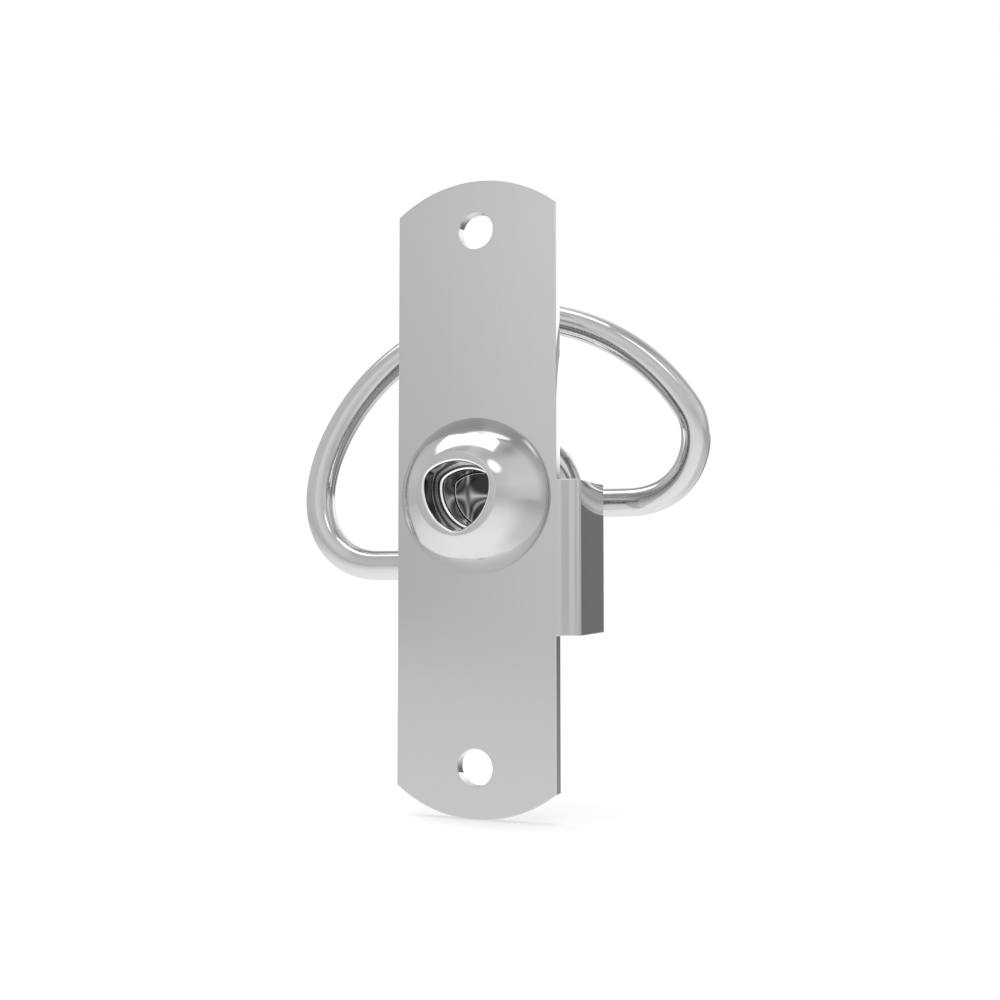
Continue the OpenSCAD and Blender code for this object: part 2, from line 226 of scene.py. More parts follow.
# %% The plate's sizes
# In mm. Where a size is the frame's own, it is read from the piece's box.
plate_low, plate_high = (np.array(corner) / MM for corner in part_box("mounting_plate"))
PLATE_HALF = -plate_low[0]
PLATE_FRONT = plate_low[1]
PLATE_T = -plate_low[1]
PLATE_TOP = plate_high[2]
LUG_X = plate_high[0]
LUG_DEPTH = plate_high[1]
END_R = 20
HOLE_R = 5.5 / 2
HOLE_Z = 79 / 2
BUSH_HOLE_R = 8.03
LUG_TOP = 2.25
LUG_BOTTOM = LUG_TOP - 22.5
LUG_T = 1.6
LUG_SET = 0.65
FOLD_R = 1.1
FOLD_INNER_R = 0.3
STEP_SLOPE = math.radians(30)
STEP_R = 1.2
RIM_EDGE_R, HOLE_EDGE_R = 0.16, 0.05
HOLES = [(0, HOLE_Z, HOLE_R), (0, -HOLE_Z, HOLE_R), (0, 0, BUSH_HOLE_R)]
print(f"plate {2 * PLATE_HALF:.1f} wide, {2 * PLATE_TOP:.1f} long, {PLATE_T:.1f} thick, {len(HOLES)} holes")

# %% The folded section
# The step's second bend ends where the fold begins.
strip_y = PLATE_FRONT + LUG_SET
step_to = LUG_X - FOLD_R - STEP_R * math.tan(STEP_SLOPE / 2)
step_from = step_to - LUG_SET / math.tan(STEP_SLOPE)

front_path = rounded([(PLATE_HALF, PLATE_FRONT, 0), (step_from, PLATE_FRONT, STEP_R),
                      (step_to, strip_y, STEP_R), (LUG_X, strip_y, FOLD_R), (LUG_X, LUG_DEPTH, 0)])
back_path = rounded([(PLATE_HALF, 0, 0), (LUG_X - LUG_T, strip_y + LUG_T, FOLD_INNER_R),
                     (LUG_X - LUG_T, LUG_DEPTH, 0)])


def lengths(path):
    """The running length along a path at each of its points."""
    return np.concatenate([[0], np.cumsum(np.linalg.norm(np.diff(path, axis=0), axis=1))])


front_run = lengths(front_path)
back_run = lengths(back_path)
# the two skins turn the corner together: the fold's ends are matched, and the rest is stretched evenly
fold_end = front_run[-1] - (LUG_DEPTH - strip_y - FOLD_R)
back_fold_end = back_run[-1] - (LUG_DEPTH - strip_y - LUG_T - FOLD_INNER_R)
front_knots = [0, fold_end - FOLD_R * math.pi / 2, fold_end, front_run[-1]]
back_knots = [0, back_fold_end - FOLD_INNER_R * math.pi / 2, back_fold_end, back_run[-1]]
print(f"section past the strip: {front_run[-1]:.1f} mm long in front, {back_run[-1]:.1f} mm at the back")


def folded(across, up, depth):
    """The bent sheet's point for a point of the flat blank.

    across <= the plate's half width stays in the plane. Beyond it, it is a length along the section's front
    skin and the matching length along its back skin. depth goes from 0 at the front skin to 1 at the back.
    """
    run = np.clip(across - PLATE_HALF, 0, None)
    back = np.interp(run, front_knots, back_knots)
    inside = np.minimum(across - PLATE_HALF, 0)
    skins = []
    for path, marks, at in ((front_path, front_run, run), (back_path, back_run, back)):
        x, y = np.interp(at, marks, path[:, 0]) + inside, np.interp(at, marks, path[:, 1])
        skins.append(np.stack([x, y, up], -1))
    weight = np.asarray(depth)[..., None]
    return skins[0] * (1 - weight) + skins[1] * weight


# %% The flat blank's outline
END_STEPS, HOLE_STEPS = 64, 96
SMALLEST_STEP = 0.02


def arc_points(x, z, radius, start, end, steps):
    """Points on a circle round (x, z), from one angle to another, in degrees."""
    a = np.radians(np.linspace(start, end, steps + 1))
    return np.stack([x + radius * np.cos(a), z + radius * np.sin(a)], 1)


end_z = PLATE_TOP - END_R
end_half = math.degrees(math.asin(PLATE_HALF / END_R))
# the tab has a point wherever one of its two skins has one, so that both bend smoothly
tab = np.unique(np.round(np.concatenate([front_run, np.interp(back_run, back_knots, front_knots)]), 4))
tab = tab[np.concatenate([[True], np.diff(tab) > SMALLEST_STEP])] + PLATE_HALF
outline = np.concatenate([
    arc_points(0, -end_z, END_R, 270 - end_half, 270 + end_half, END_STEPS),
    np.stack([tab, np.full(len(tab), LUG_BOTTOM)], 1),
    np.stack([tab[::-1], np.full(len(tab), LUG_TOP)], 1),
    arc_points(0, end_z, END_R, 90 - end_half, 90 + end_half, END_STEPS)])
tab_first = END_STEPS + 1
print(len(outline), "points round the blank,", len(tab), "of them on each side of the tab")


# %% The sheet's edge
RIM_WIDTH = 1.8


def inset(loop, distance):
    """Moves each corner of a loop inwards along the mitre of its two sides. With n1 and n2 their normals,
    the mitre is (n1 + n2) / (1 + n1 . n2)."""
    side = np.roll(loop, -1, 0) - loop
    side /= np.linalg.norm(side, axis=1, keepdims=True)
    after = np.stack([-side[:, 1], side[:, 0]], 1)
    before = np.roll(after, 1, 0)
    return loop + distance * (before + after) / (1 + (before * after).sum(1, keepdims=True))


def edge_profile(radius):
    """Pairs (distance inwards, depth from 0 to 1) down the sheet's edge: a flat rim, a quarter circle of
    that radius, the straight edge, and the same again at the back."""
    quarter = np.radians(np.linspace(0, 90, 6))
    inwards = np.concatenate([[RIM_WIDTH * radius], radius * (1 - np.sin(quarter))])
    down = np.concatenate([[0], radius * (1 - np.cos(quarter))]) / PLATE_T
    return np.concatenate([np.stack([inwards, down], 1), np.stack([inwards, 1 - down], 1)[::-1]])


def outer_loop(moved):
    """The blank's outline, moved inwards by a distance."""
    return inset(outline, moved)


def hole_loop(x, z, radius):
    """A function that gives a hole's circle, widened by a distance. It runs clockwise, so that the faces
    look into the hole."""
    return lambda moved: arc_points(x, z, radius + moved, 360, 0, HOLE_STEPS)[:-1]


def edge_rings(loop, radius):
    """One folded ring for each point of the edge profile; loop(distance) gives the flat loop."""
    count = len(loop(0))
    return np.stack([folded(*loop(moved).T, np.full(count, depth)) for moved, depth in edge_profile(radius)])


loops = [(outer_loop, RIM_EDGE_R)] + [(hole_loop(*hole), HOLE_EDGE_R) for hole in HOLES]
grids = [edge_rings(loop, radius) for loop, radius in loops]
rows = len(grids[0])
print(len(grids), "edges of", rows, "rings each")

# %% The plate's two broad faces
# The loops that bound the flat faces are joined by triangles, which are then kept where they lie on the
# sheet.
flat = [loop(edge_profile(radius)[0, 0]) for loop, radius in loops]
flat_points = np.concatenate(flat)
flat_sizes = np.array([len(loop) for loop in flat])
flat_first = np.concatenate([[0], np.cumsum(flat_sizes)])
loop_edges = []
for start, end in zip(flat_first[:-1].tolist(), flat_first[1:].tolist()):
    loop_edges += [(k, k + 1 if k + 1 < end else start) for k in range(start, end)]
fold_lines = [(tab_first + k, tab_first + 2 * len(tab) - 1 - k) for k in range(len(tab) - 1)]
filled = geometry.delaunay_2d_cdt([Vector(p) for p in flat_points], loop_edges + fold_lines, [], 1, 1e-6)
to_flat = np.array([source[0] for source in filled[3]])
triangles = to_flat[np.array(filled[2])]
middles = flat_points[triangles].mean(1)
rim = RIM_WIDTH * HOLE_EDGE_R
keep = np.all([np.hypot(middles[:, 0] - x, middles[:, 1] - z) > r + rim for x, z, r in HOLES], axis=0)
triangles = triangles[keep]
print(len(triangles), "triangles on each broad face")


# %% The plate's mesh
# A flat loop's point is the same point of the first ring in front, and of the last ring at the back.
# how much brighter the plate's back is painted, as painted light
BACK_PAINTED_LIGHT = 0.5

firsts = np.concatenate([[0], np.cumsum([g.shape[0] * g.shape[1] for g in grids])])
loop_of = np.repeat(np.arange(len(flat)), flat_sizes)
front_index = firsts[loop_of] + np.arange(len(loop_of)) - flat_first[loop_of]
back_index = front_index + (rows - 1) * flat_sizes[loop_of]
# the corners are taken the other way round, so that the faces look outwards
edge_faces = [first + grid_faces(rows, g.shape[1])[:, [0, 3, 2, 1]] for g, first in zip(grids, firsts)]
plate_faces = np.concatenate(edge_faces).tolist()
plate_faces += front_index[triangles].tolist() + back_index[triangles[:, ::-1]].tolist()

plate_mesh = bpy.data.meshes.new("face_plate")
plate_mesh.from_pydata((np.concatenate([g.reshape(-1, 3) for g in grids]) * MM).tolist(), [], plate_faces)
face_plate = piece("face_plate", plate_mesh)

# the back, the last two rings of each grid, is painted brighter than the front: painted light
is_back = np.concatenate([np.repeat(np.arange(rows) >= rows - 2, g.shape[1]) for g in grids])
store(plate_mesh, "painted_light", BACK_PAINTED_LIGHT * is_back)

# %% [markdown]
# ## The domed head
# The head is turned from bar: a short side, a rounded edge, a dome and a flat face, with a three-cornered
# key opening broached through it. A Boolean would leave ragged shading at the opening. Instead, every ring
# is a closed loop round the axis whose radius is a function of the angle: the same all round on the dome,
# the key's outline at the opening, and on the flat face something between the two.

# %% The key's outline as a radius for each angle
KEY_CORNER = 3.1
KEY_CORNER_R = 2.2
KEY_SIDE = 4.6
TURNS = 240

side_back = (KEY_CORNER**2 - (KEY_SIDE - KEY_CORNER_R) ** 2) / (2 * (KEY_SIDE - KEY_CORNER_R) - KEY_CORNER)
side_half = math.degrees(math.atan2(KEY_CORNER * math.sin(math.pi / 3), KEY_CORNER / 2 + side_back))
theta = 2 * np.pi * np.arange(TURNS) / TURNS


def polar(radius, angle):
    """Plane points at a radius and an angle in degrees."""
    a = np.radians(angle)
    return np.stack([radius * np.cos(a), radius * np.sin(a)], -1)


def key_radius(grown=0.0):
    """Distance from the axis to the key's outline, grown by a margin, at each of the ring's angles.

    The outline is a triangle with one corner down. Each corner is an arc round a centre KEY_CORNER from the
    axis, and each side a wide arc round a centre behind the axis, so that they share their tangents.
    """
    parts = []
    for corner in (-90, 30, 150):
        spread = np.linspace(-60 + side_half, 60 - side_half, 60)
        parts.append(polar(KEY_CORNER, corner) + polar(KEY_CORNER_R + grown, corner + spread))
        spread = np.linspace(-side_half, side_half, 60)
        side = corner + 60
        parts.append(-polar(side_back, side) + polar(side_back + KEY_SIDE + grown, side + spread))
    points = np.concatenate(parts)
    angle = np.arctan2(points[:, 1], points[:, 0])
    order = np.argsort(angle)
    return np.interp(theta, angle[order], np.hypot(*points[order].T), period=2 * np.pi)


def rim_turn(grown, radius, y, angles):
    """A quarter turn at the edge of an opening of the key's outline: pairs (outline grown by
    grown + r (1 - sin a), y + r (1 - cos a)). A negative r rounds the bottom of a socket."""
    return [(key_radius(grown + radius * (1 - math.sin(a))), y + radius * (1 - math.cos(a)))
            for a in np.radians(angles)]


def round_the_axis(profile):
    """Rings round the spindle's axis from pairs (radius, y); a radius is one number or one an angle."""
    rings = [np.stack([r * np.cos(theta), np.full(TURNS, y), r * np.sin(theta)], -1) for r, y in profile]
    return np.stack(rings)


print(f"key opening: {key_radius().min():.2f} to {key_radius().max():.2f} mm from the axis")

# %% Painted light and shade
# Painted shade darkens the metal in its recesses, and painted highlights and reflections brighten it at the
# rims and in a few places. Each point stores that change of its reflection, and the material multiplies its
# colour by 1 + the stored value.
# painted shade in the recesses, and a painted highlight on the rims
RECESS_SHADE, RIM_HIGHLIGHT = -0.93, 0.45


def painted_light(made, first, values):
    """Stores the painted light and shade of each point: how much more or less than the plain metal it
    mirrors;
    0 outside the given rings.
    """
    change = np.zeros((len(made.data.vertices) // TURNS, TURNS))
    change[first:first + len(values)] = values
    store(made.data, "painted_light", change)


def patch(middle, width):
    """A soft bump over the angle, 1 at its middle and exp(-1) at its width, both in degrees."""
    off = (np.degrees(theta) - middle + 180) % 360 - 180
    return np.exp(-(off / width) ** 2)


print(f"marks from {1 + RECESS_SHADE:.2f} to {1 + RIM_HIGHLIGHT:.2f} of the metal's own reflection")

# %% The head's profile
HEAD_R = 22.9 / 2
HEAD_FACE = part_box("domed_head")[0].y / MM
HEAD_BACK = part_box("domed_head")[1].y / MM
HEAD_EDGE = PLATE_FRONT - 0.9
HEAD_EDGE_R, HEAD_BACK_R = 0.5, 0.15
FACE_R = 12.1 / 2
DOME_BULGE = 0.6
FACE_ROUND = 0.5
LEDGE_Y = HEAD_FACE + 4.4
RIM_R = 0.35
SPINDLE_R = 6
BORE_GAP = 0.03
RIM_STEPS = 7


def bulged(p, q, height, steps):
    """An arc from p to q that stands out from its chord by height: its radius is (half^2 + h^2) / 2h."""
    p, q = np.array(p, float), np.array(q, float)
    half = np.linalg.norm(q - p) / 2
    radius = (half**2 + height**2) / (2 * height)
    left = np.array([p[1] - q[1], q[0] - p[0]]) / (2 * half)
    middle = (p + q) / 2 - left * (radius - height)
    start = math.atan2(*(p - middle)[::-1])
    angle = start - 2 * math.asin(half / radius) * np.linspace(0, 1, steps + 1)
    return middle + radius * np.stack([np.cos(angle), np.sin(angle)], 1)


crown = bulged((HEAD_R, HEAD_EDGE), (FACE_R, HEAD_FACE), DOME_BULGE, 60)
edge = rounded([(HEAD_R - 1, HEAD_BACK, 0), (HEAD_R, HEAD_BACK, HEAD_BACK_R),
                (HEAD_R, HEAD_EDGE, HEAD_EDGE_R), (*crown[3], 0)])
face_turn = fillet(crown[-4], crown[-1], np.array([FACE_R - 2, HEAD_FACE]), FACE_ROUND, 8)
dome = np.concatenate([edge[:-1], crown[4:-4], face_turn])
print(len(dome), "rings over the dome, which stands", round(PLATE_FRONT - HEAD_FACE, 2), "mm off the plate")

# %% The head
# From the bore at the back over the dome, across the flat face, round the rim and down the broached wall.
head_profile = [(SPINDLE_R + BORE_GAP, HEAD_BACK), *dome]
rim_top = key_radius(RIM_R)
for share in np.linspace(0, 1, 6)[1:]:
    head_profile.append((dome[-1, 0] * (1 - share) + rim_top * share, HEAD_FACE))
first_rim = len(head_profile)
head_profile += rim_turn(0, RIM_R, HEAD_FACE, np.linspace(0, 90, RIM_STEPS + 1)[1:])
key_wall = key_radius()
wall_depth = np.concatenate([[RIM_R + 0.05], np.linspace(RIM_R + 0.3, LEDGE_Y - BORE_GAP - HEAD_FACE, 14)])
for depth in wall_depth:
    head_profile.append((key_wall, HEAD_FACE + depth))
head_profile.append((SPINDLE_R + BORE_GAP, LEDGE_Y - BORE_GAP))
domed_cap = skin("domed_cap", round_the_axis(head_profile), wrap=True)

# %% The head's painted light and shade
# The rim gets a painted highlight. The broached wall is painted dark as shade, with a few painted reflections
# halfway down: their middle and width in degrees, and how much more they mirror.
WALL_REFLECTIONS = [(183, 12, 0.16), (153, 5, 0.1), (163, 1.5, 0.16), (97, 9, 0.4), (-97, 8, 0.4)]
REFLECTION_DEPTH, REFLECTION_REACH = 3.0, 1.3

halfway = np.exp(-((wall_depth - REFLECTION_DEPTH) / REFLECTION_REACH) ** 2)[:, None]
painted_reflections = sum(strength * patch(middle, width) for middle, width, strength in WALL_REFLECTIONS)
wall_painted_light = RECESS_SHADE + halfway * painted_reflections
painted_light(domed_cap, first_rim, np.concatenate([np.full((RIM_STEPS, TURNS), RIM_HIGHLIGHT), wall_painted_light]))
print(f"broached wall: {1 + wall_painted_light.min():.2f} to {1 + wall_painted_light.max():.2f} of the reflection")

# %% [markdown]
# ## The spindle
# Behind the opening the spindle shows a narrow ledge and the socket that the key's nose fits. Further back
# it is a plain turned shaft with a shoulder, a groove for the retaining ring and a chamfered end. Like the
# head, it is one list of radii and places, and it is closed at the socket's floor and at the shaft's end.

# %% The spindle
SOCKET_INSET = 1
SOCKET_DEPTH = 4.5
SOCKET_RIM = 0.42
FLOOR_ROUND = 0.2
SHAFT_R = 5
SHOULDER_Y = 7.0
SHAFT_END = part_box("spindle")[1].y / MM
RING_T = 1
RING_SLACK = 0.03
GROOVE_Y = SHAFT_END - 2 * RING_T - 2 * RING_SLACK
GROOVE_W = RING_T + 2 * RING_SLACK
GROOVE_R = SHAFT_R - 0.4
SHAFT_CHAMFER = 0.5
FLOOR_RINGS, ROUND_RINGS = 22, 6

floor_y = LEDGE_Y + SOCKET_DEPTH
floor_edge = key_radius(-SOCKET_INSET - FLOOR_ROUND)
spindle_profile = [(floor_edge * share, floor_y) for share in np.linspace(0.01, 1, FLOOR_RINGS)]
spindle_profile += rim_turn(-SOCKET_INSET, -FLOOR_ROUND, floor_y, np.linspace(0, 90, ROUND_RINGS + 1)[1:])
for y in np.linspace(floor_y - FLOOR_ROUND, LEDGE_Y + SOCKET_RIM + 0.04, 16)[1:]:
    spindle_profile.append((key_radius(-SOCKET_INSET), y))
socket_rings = len(spindle_profile)
spindle_profile += rim_turn(-SOCKET_INSET, SOCKET_RIM, LEDGE_Y, np.linspace(90, 0, RIM_STEPS))
# the ledge's rings: off the rim, on both sides of the step from painted shade to painted highlight, and under
# the head
ledge_margins = [SOCKET_RIM + 0.04, SOCKET_INSET - 0.22, SOCKET_INSET - 0.18, SOCKET_INSET + 0.1]
for margin in ledge_margins:
    spindle_profile.append((key_radius(-SOCKET_INSET + margin), LEDGE_Y))
shaft = rounded([(SPINDLE_R - 0.4, LEDGE_Y, 0), (SPINDLE_R, LEDGE_Y, 0.1), (SPINDLE_R, SHOULDER_Y, 0.15),
                 (SHAFT_R, SHOULDER_Y, 0.1), (SHAFT_R, GROOVE_Y, 0.05), (GROOVE_R, GROOVE_Y, 0.05),
                 (GROOVE_R, GROOVE_Y + GROOVE_W, 0.05), (SHAFT_R, GROOVE_Y + GROOVE_W, 0.05),
                 (SHAFT_R, SHAFT_END - SHAFT_CHAMFER, 0.15), (SHAFT_R - SHAFT_CHAMFER, SHAFT_END, 0.15),
                 (0.4, SHAFT_END, 0)], 4)
spindle_rings = round_the_axis(spindle_profile + list(shaft))
turned_spindle = skin("turned_spindle", spindle_rings, flip=True)

# %% The spindle's painted light and shade
# A painted reflection crosses the socket's painted-dark floor in two stripes. Close to the two lines of the
# cross the product |x y| of the distances from them is small, so exp(-(|x y| / width)^power) is bright there
# and fades into the corners.
STAR_AT = -1.75, 0.1
STAR_BRIGHT, STAR_WIDTH = 0.88, 0.5
SECOND_BRIGHT, SECOND_AT = 0.3, 1.9
# painted shade with a painted highlight on the socket's wall, painted shade at its floor's edge, and painted
# shade then a painted highlight across the ledge
WALL_SHADE, WALL_HIGHLIGHT, WALL_WIDTH = -0.3, 0.35, 0.9
FLOOR_EDGE_SHADE, LEDGE_SHADE, LEDGE_HIGHLIGHT = -0.15, -0.75, 0.5

x, z = spindle_rings[:socket_rings, :, 0] - STAR_AT[0], spindle_rings[:socket_rings, :, 2] - STAR_AT[1]
product = np.abs(x * z)
# a fainter painted reflection runs beside the first, strongest at the lower right and missing at the upper
# right
second = np.where(x > 0, np.where(z > 0, 0, 1.7), np.where(z > 0, 0.8, 1.0))
star = STAR_BRIGHT * np.exp(-(product / STAR_WIDTH) ** 1.5) \
    + SECOND_BRIGHT * second * np.exp(-((product - SECOND_AT) / STAR_WIDTH) ** 2)
wall = WALL_SHADE + WALL_HIGHLIGHT * np.exp(-(product / WALL_WIDTH) ** 2)
ring = np.arange(socket_rings)[:, None]
socket_painted_light = np.where(ring < FLOOR_RINGS, RECESS_SHADE + star,
                          np.where(ring < FLOOR_RINGS + ROUND_RINGS, FLOOR_EDGE_SHADE, wall))
# the rim gets a painted highlight, and the ledge painted shade and then a painted highlight
ledge = [RIM_HIGHLIGHT] * RIM_STEPS + [LEDGE_SHADE] * 2 + [LEDGE_HIGHLIGHT] * 2
ledge_painted_light = np.broadcast_to(np.array(ledge)[:, None], (len(ledge), TURNS))
painted_light(turned_spindle, 0, np.concatenate([socket_painted_light, ledge_painted_light]))
print(f"socket: {1 + socket_painted_light.min():.2f} to {1 + socket_painted_light.max():.2f} of the reflection")

# %% [markdown]
# ## The wire cam
# One length of 4.5 mm wire, bent cold: a straight rear leg in the collar, a wide arch that comes forward as
# it goes round, a straight front leg, and a tight bend into the spindle. A curve object with a bevel would
# do, but its handles are awkward to place by a drawing. Here the path is worked out piece by piece, and a
# circle is carried along it. The latch's axis sets where each circle starts, so the tube never twists.

# %% The wire's path
WIRE_R = 4.5 / 2
WIRE_TURNS = 64
WIRE_CHAMFER = 0.3
REAR_LEG_Y = 22
FRONT_LEG_Y = 3.5
FRONT_LEG_Z = -10.1
REAR_LEG_END = np.array([16.6, REAR_LEG_Y, 0])
FRONT_LEG_END = np.array([-18.5, FRONT_LEG_Y, FRONT_LEG_Z])
ARCH_R = 30.75
ARCH_AT = np.array([1, -1.65])
ARCH_FROM, ARCH_TO = 31, 157
ARCH_REAR_Y, ARCH_FRONT_Y = 17.9, 6.2
REAR_PULLS = 10.6, 5.2
FRONT_PULLS = 13.4, 8.5
WIRE_TIP_Z = SPINDLE_R + 1


def arch(angle):
    """A point of the arch: a circle round ARCH_AT that comes forward evenly with the angle."""
    a = np.radians(angle)
    y = np.interp(angle, [ARCH_FROM, ARCH_TO], [ARCH_REAR_Y, ARCH_FRONT_Y])
    return np.stack([ARCH_AT[0] + ARCH_R * np.cos(a), y, ARCH_AT[1] + ARCH_R * np.sin(a)], -1)


def arch_way(angle):
    """The arch's direction of travel, of length 1."""
    a = math.radians(angle)
    rise = (ARCH_FRONT_Y - ARCH_REAR_Y) / math.radians(ARCH_TO - ARCH_FROM)
    way = np.array([-ARCH_R * math.sin(a), rise, ARCH_R * math.cos(a)])
    return way / np.linalg.norm(way)


def bend(a, b, c, d, steps):
    """The cubic curve (1-t)^3 a + 3 (1-t)^2 t b + 3 (1-t) t^2 c + t^3 d."""
    t = np.linspace(0, 1, steps + 1)[:, None]
    return (1 - t) ** 3 * a + 3 * (1 - t) ** 2 * t * b + 3 * (1 - t) * t**2 * c + t**3 * d


X_AXIS = np.array([1.0, 0, 0])
tight_r = -FRONT_LEG_Z - SPINDLE_R
tight = np.radians(np.linspace(-90, 0, 24))
tight_bend = np.stack([-tight_r + tight_r * np.cos(tight), np.full(len(tight), FRONT_LEG_Y),
                       -SPINDLE_R + tight_r * np.sin(tight)], 1)
wire_path = np.concatenate([
    [[SHAFT_R + BORE_GAP, REAR_LEG_Y, 0]],
    bend(REAR_LEG_END, REAR_LEG_END + REAR_PULLS[0] * X_AXIS,
         arch(ARCH_FROM) - REAR_PULLS[1] * arch_way(ARCH_FROM), arch(ARCH_FROM), 70)[:-1],
    arch(np.linspace(ARCH_FROM, ARCH_TO, 150)),
    bend(arch(ARCH_TO), arch(ARCH_TO) + FRONT_PULLS[0] * arch_way(ARCH_TO),
         FRONT_LEG_END - FRONT_PULLS[1] * X_AXIS, FRONT_LEG_END, 80)[1:],
    tight_bend,
    [[0, FRONT_LEG_Y, WIRE_TIP_Z]]])
print(f"{lengths(wire_path)[-1]:.0f} mm of wire, along {len(wire_path)} points")


# %% A tube along a path
def tube(name, path, radius, turns, chamfer):
    """Carries a circle along a path in mm: point = path + radius (u cos a + v sin a). Here u is the latch's
    axis made square to the path, and v = direction x u. The ends are chamfered: the last ring is smaller by
    the chamfer, and the ring before it stands one chamfer back."""
    way = np.gradient(path, lengths(path), axis=0)
    way /= np.linalg.norm(way, axis=1, keepdims=True)
    first, last = path[:1], path[-1:]
    path = np.concatenate([first, first + way[:1] * chamfer, path[1:-1], last - way[-1:] * chamfer, last])
    way = way[np.concatenate([[0, 0], np.arange(1, len(way) - 1), [-1, -1]])]
    size = np.full(len(path), radius)
    size[[0, -1]] -= chamfer
    u = np.array([0, 1.0, 0]) - way * way[:, 1:2]
    u /= np.linalg.norm(u, axis=1, keepdims=True)
    v = np.cross(way, u)
    a = 2 * np.pi * np.arange(turns) / turns
    circle = u[:, None] * np.cos(a)[:, None] + v[:, None] * np.sin(a)[:, None]
    return skin(name, path[:, None] + size[:, None, None] * circle)


bent_wire = tube("bent_wire", wire_path, WIRE_R, WIRE_TURNS, WIRE_CHAMFER)

# %% [markdown]
# ## Polished and satin metals
# A metal has no colour of its own beyond its mirror: its look is what it reflects, how sharply, and the
# marks that its making left. So every metal here is a Principled shader with Metallic 1 and a plain grey,
# and its roughness and bump are driven by noise in the shape of those marks.

# %% Start of a material
def start(name):
    """A new material with its tree and its Principled shader."""
    material = bpy.data.materials.new(name)
    material.use_nodes = True
    return material, material.node_tree, material.node_tree.nodes["Principled BSDF"]


def finish(tree, shader, colour, rough, bump, metallic=1):
    """Joins a colour, a roughness and a bump to the shader."""
    fill(tree, shader, {"Base Color": colour, "Roughness": rough, "Normal": bump, "Metallic": metallic})


def with_painted_light(tree, colour):
    """A colour multiplied by 1 + the painted light and shade stored with the points, which is 0 where none is
    stored.
    """
    worked = add(tree, "ShaderNodeAttribute", attribute_name="painted_light")
    share = add(tree, "ShaderNodeMath", {0: worked.outputs["Fac"], 1: 1.0}, operation="ADD")
    return add(tree, "ShaderNodeVectorMath", {0: colour, "Scale": share}, operation="SCALE").outputs[0]


# %% [markdown]
# ### Bright rolled steel, for the plate
# Cold-rolled strip is almost a mirror: it throws back a room whose edges are a little soft. The rolls leave
# faint lines along the strip, and the eye finds them only where a light's edge crosses them. The sheet is
# also never quite flat, so the softness drifts over a few millimetres. The back is painted brighter than the
# front, as painted light stored with its points.

# %% Bright rolled steel
def rolled_steel():
    """Noise stretched 50 times along z makes the roll lines, 0.3 mm wide and 15 mm long. A cloud 9 mm across
    shifts the roughness, and the colour is multiplied by 1 + the painted light stored with the points."""
    material, tree, shader = start("bright_rolled_steel")
    place = add(tree, "ShaderNodeTexCoord").outputs["Object"]
    scale = (1 / (0.3 * MM), 1 / (0.3 * MM), 1 / (15 * MM))
    lines = add(tree, "ShaderNodeMapping", {"Vector": place, "Scale": scale})
    rolled = add(tree, "ShaderNodeTexNoise", {"Vector": lines, "Scale": 1.0, "Detail": 3.0})
    cloud = add(tree, "ShaderNodeTexNoise", {"Vector": place, "Scale": 1 / (9 * MM), "Detail": 2.0})
    tone = add(tree, "ShaderNodeMix", {"Factor": rolled, "A": linear("#C5C5C5"), "B": linear("#C7C7C7")},
            data_type="RGBA")
    rough = add(tree, "ShaderNodeMapRange", {"Value": cloud, "To Min": 0.05, "To Max": 0.08})
    bump = add(tree, "ShaderNodeBump", {"Height": rolled, "Strength": 0.01, "Distance": 0.01 * MM})
    finish(tree, shader, with_painted_light(tree, tone.outputs[2]), rough, bump)
    return material


# %% [markdown]
# ### Turned metals, for the head, the collar and the shaft
# A lathe leaves rings round the axis, closer together the finer the cut, and polishing only softens them.
# On a face they are circles about the axis, and on a side they lie one behind another, so the rings follow
# the distance from the axis plus the distance along it. The chromed head keeps only a trace of them, while
# the plain shaft shows them in every highlight. The collar's faces keep the wide rings of the first cut as
# well, which bend what they mirror into curved stripes.

# %% Turned metals
WIDE_PITCH = 2.2


def turned_metal(name, colour, pitch, height, low, high, steps=0.0):
    """Rings: one-dimensional noise of sqrt(x^2 + z^2) + y, pitch mm apart and height mm deep.

    The colour is multiplied by 1 + the painted light and shade stored with the points. The roughness runs
    from low to high with the rings and a cloud.
    steps is the depth in mm of the wide rings of the first cut: a sine of the distance from the axis, with
    one wave in WIDE_PITCH mm.
    """
    material, tree, shader = start(name)
    place = add(tree, "ShaderNodeTexCoord").outputs["Object"]
    flat = add(tree, "ShaderNodeVectorMath", {0: place, 1: (1, 0, 1)}, operation="MULTIPLY")
    radius = add(tree, "ShaderNodeVectorMath", {0: flat}, operation="LENGTH")
    part = add(tree, "ShaderNodeSeparateXYZ", {0: place})
    run = add(tree, "ShaderNodeMath", {0: radius.outputs["Value"], 1: part.outputs["Y"]}, operation="ADD")
    rings = add(tree, "ShaderNodeTexNoise", {"W": run, "Scale": 1 / (pitch * MM), "Detail": 2.0},
            noise_dimensions="1D")
    cloud = add(tree, "ShaderNodeTexNoise", {"Vector": place, "Scale": 1 / (3 * MM), "Detail": 4.0})
    both = add(tree, "ShaderNodeMath", {0: rings, 1: cloud}, operation="MULTIPLY")
    rough = add(tree, "ShaderNodeMapRange", {"Value": both, "From Min": 0.1, "From Max": 0.4, "To Min": low,
            "To Max": high})
    bump = add(tree, "ShaderNodeBump", {"Height": rings, "Strength": 0.1, "Distance": height * MM})
    if steps:
        wide = add(tree, "ShaderNodeMath", {0: radius.outputs["Value"], 1: 2 * math.pi / (WIDE_PITCH * MM)},
                operation="MULTIPLY")
        wave = add(tree, "ShaderNodeMath", {0: wide}, operation="SINE")
        bump = add(tree, "ShaderNodeBump", {"Height": wave, "Strength": 1.0, "Distance": steps * MM,
                "Normal": bump})
    finish(tree, shader, with_painted_light(tree, linear(colour)[:3]), rough, bump)
    return material


